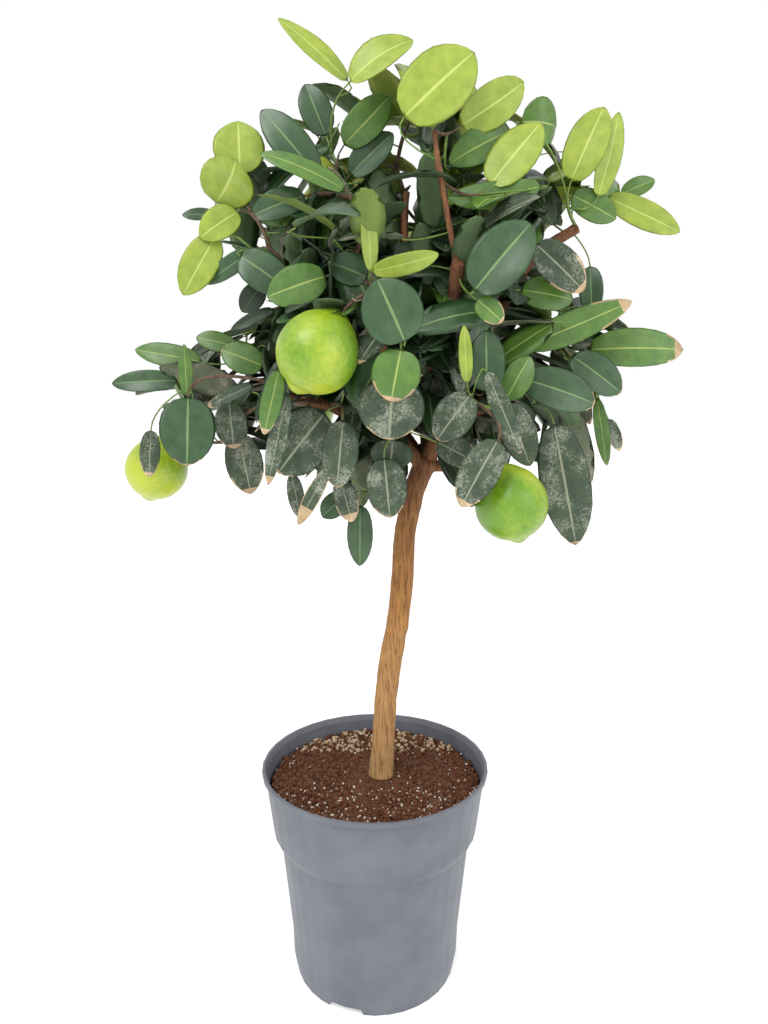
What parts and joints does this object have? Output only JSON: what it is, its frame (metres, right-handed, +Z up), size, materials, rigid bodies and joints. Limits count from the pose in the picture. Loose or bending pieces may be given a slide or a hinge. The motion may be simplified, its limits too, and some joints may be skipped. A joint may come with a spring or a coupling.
{
  "type": "potted lime tree",
  "caption": "Young Persian lime tree with a slim leaning trunk, a round open crown of broad glossy leaves and green limes, standing in a stepped round nursery pot.",
  "frame": {"origin": "centre of the pot's underside, on the ground", "axes": "+Z up, +X to the right of the front view, +Y away from the viewer"},
  "size_m": [0.462, 0.38, 0.797],
  "materials": {
    "pot_plastic": "moulded slate grey polypropylene, satin, a little dusty",
    "potting_mix": "crumbly dark reddish-brown peat and bark fibre with white grit",
    "trunk_bark": "dry tan citrus bark with fine upright cracks",
    "bough_bark": "brown young citrus bark",
    "leaves_young": "soft satin yellow-green young leaves",
    "leaves_grown": "waxy dark green grown leaves",
    "leaves_dusty": "dull grey-green old leaves with dusty film and dry edges"
  },
  "bodies": {
    "root": {"pot": "pot_plastic", "soil": "potting_mix", "trunk": "trunk_bark", "bough_back": "bough_bark", "bough_back_left": "bough_bark", "bough_back_right": "bough_bark", "bough_front_stub": "bough_bark", "bough_leader": "bough_bark", "bough_leader_shoot": "bough_bark", "bough_left_high": "bough_bark", "bough_left_low": "bough_bark", "bough_right_high": "bough_bark", "bough_right_low": "bough_bark", "bough_right_out": "bough_bark", "bough_right_stub": "bough_bark", "bough_top": "bough_bark", "foliage_top_left": "leaves_young", "foliage_top_right": "leaves_young", "foliage_top_back": "leaves_young", "foliage_upper_left": "leaves_grown", "foliage_left_high": "leaves_grown", "foliage_upper_right": "leaves_grown", "foliage_right_high": "leaves_grown", "foliage_upper_back_left": "leaves_grown", "foliage_upper_back_right": "leaves_grown", "foliage_front": "leaves_grown", "foliage_front_left": "leaves_grown", "foliage_front_right": "leaves_grown", "foliage_left_middle": "leaves_grown", "foliage_right": "leaves_grown", "foliage_back": "leaves_grown", "foliage_back_left_low": "leaves_grown", "foliage_back_right_low": "leaves_grown", "foliage_left": "leaves_dusty", "foliage_left_low": "leaves_dusty", "foliage_middle_low": "leaves_dusty", "foliage_front_low": "leaves_dusty", "foliage_right_low": "leaves_dusty", "foliage_right_outer_low": "leaves_dusty", "foliage_back_low": "leaves_dusty"}
  },
  "joints": []
}
